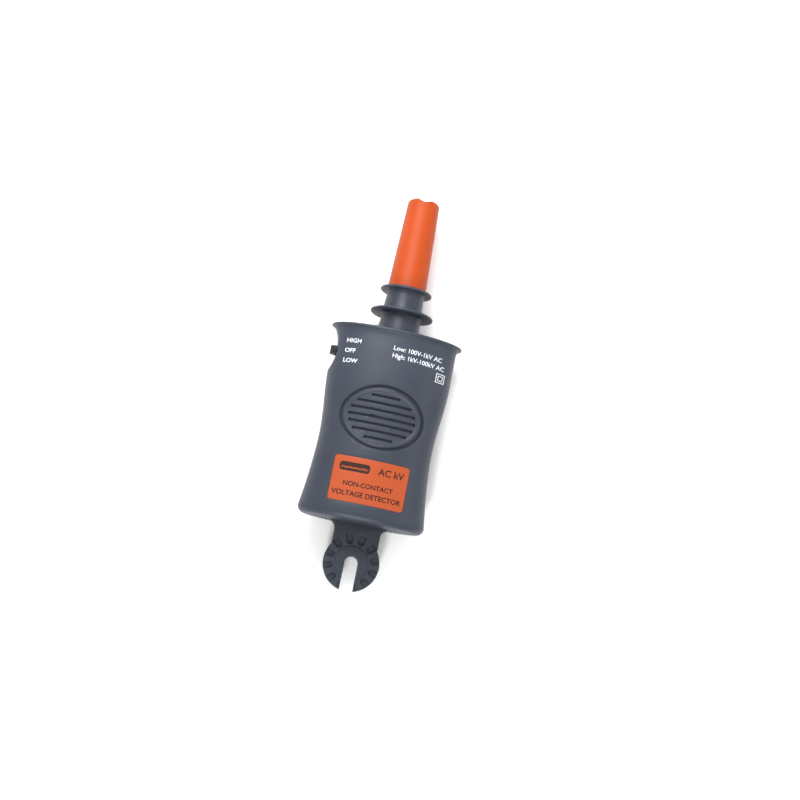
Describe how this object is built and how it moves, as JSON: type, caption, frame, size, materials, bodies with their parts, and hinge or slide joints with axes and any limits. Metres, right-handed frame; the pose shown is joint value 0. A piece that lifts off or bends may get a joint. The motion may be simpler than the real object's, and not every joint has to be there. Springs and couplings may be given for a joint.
{
  "type": "non contact voltage tester",
  "caption": "Hot-stick non contact voltage tester: flat waisted body, guard-disc neck, hollow orange sensing tip, side slide switch, sound grille and a slotted spline lug.",
  "frame": {"origin": "under the middle of the overall box, on the surface that the tester lies on, on its back", "axes": "+Y along the body towards the sensing tip, +Z out of the front face, +X to the right seen from the front"},
  "size_m": [0.094, 0.2844, 0.05],
  "materials": {
    "body_plastic": "fine-grained moulded plastic, satin",
    "lug_plastic": "glass-filled moulded plastic, satin",
    "tip_plastic": "moulded plastic, satin",
    "label_film": "printed film",
    "knob_plastic": "moulded plastic, satin",
    "lever_plastic": "moulded plastic, satin",
    "board_laminate": "solder resist",
    "chip_plastic": "moulded epoxy",
    "capacitor_sleeve": "shrink sleeve",
    "sounder_plastic": "moulded plastic",
    "foam": "open foam",
    "led_lens": "tinted lens",
    "antenna_brass": "plain",
    "lead_sleeve": "wire insulation",
    "cell_case": "printed wrap",
    "spring_steel": "nickel-plated",
    "screw_steel": "zinc-plated"
  },
  "bodies": {
    "housing": {"front_shell": "body_plastic", "rear_shell": "body_plastic", "spline_lug": "lug_plastic", "neck_guard": "body_plastic", "sensor_tip": "tip_plastic", "speaker_grille": "body_plastic", "front_label": "label_film", "slide_switch": "spring_steel", "main_board": "board_laminate", "control_chip": "chip_plastic", "storage_capacitor": "capacitor_sleeve", "sounder": "sounder_plastic", "sounder_seal": "foam", "led_board": "board_laminate", "indicator_leds": "led_lens", "sensing_antenna": "antenna_brass", "head_leads": "lead_sleeve", "battery_leads": "lead_sleeve", "cell_1": "cell_case", "cell_2": "cell_case", "cell_3": "cell_case", "contact_springs": "spring_steel", "contact_plates": "spring_steel", "housing_screws": "screw_steel", "board_screws": "screw_steel", "lug_screws": "screw_steel"},
    "cover": {"battery_cover": "body_plastic"},
    "switch": {"switch_knob": "knob_plastic", "switch_lever": "lever_plastic"}
  },
  "joints": [
    {"name": "cover_slide", "type": "slide", "parent": "housing", "child": "cover", "axis": [0, -1, 0], "range_m": [0, 0.074]},
    {"name": "switch_slide", "type": "slide", "parent": "housing", "child": "switch", "axis": [0, 1, 0], "range_m": [-0.004, 0.004]}
  ]
}
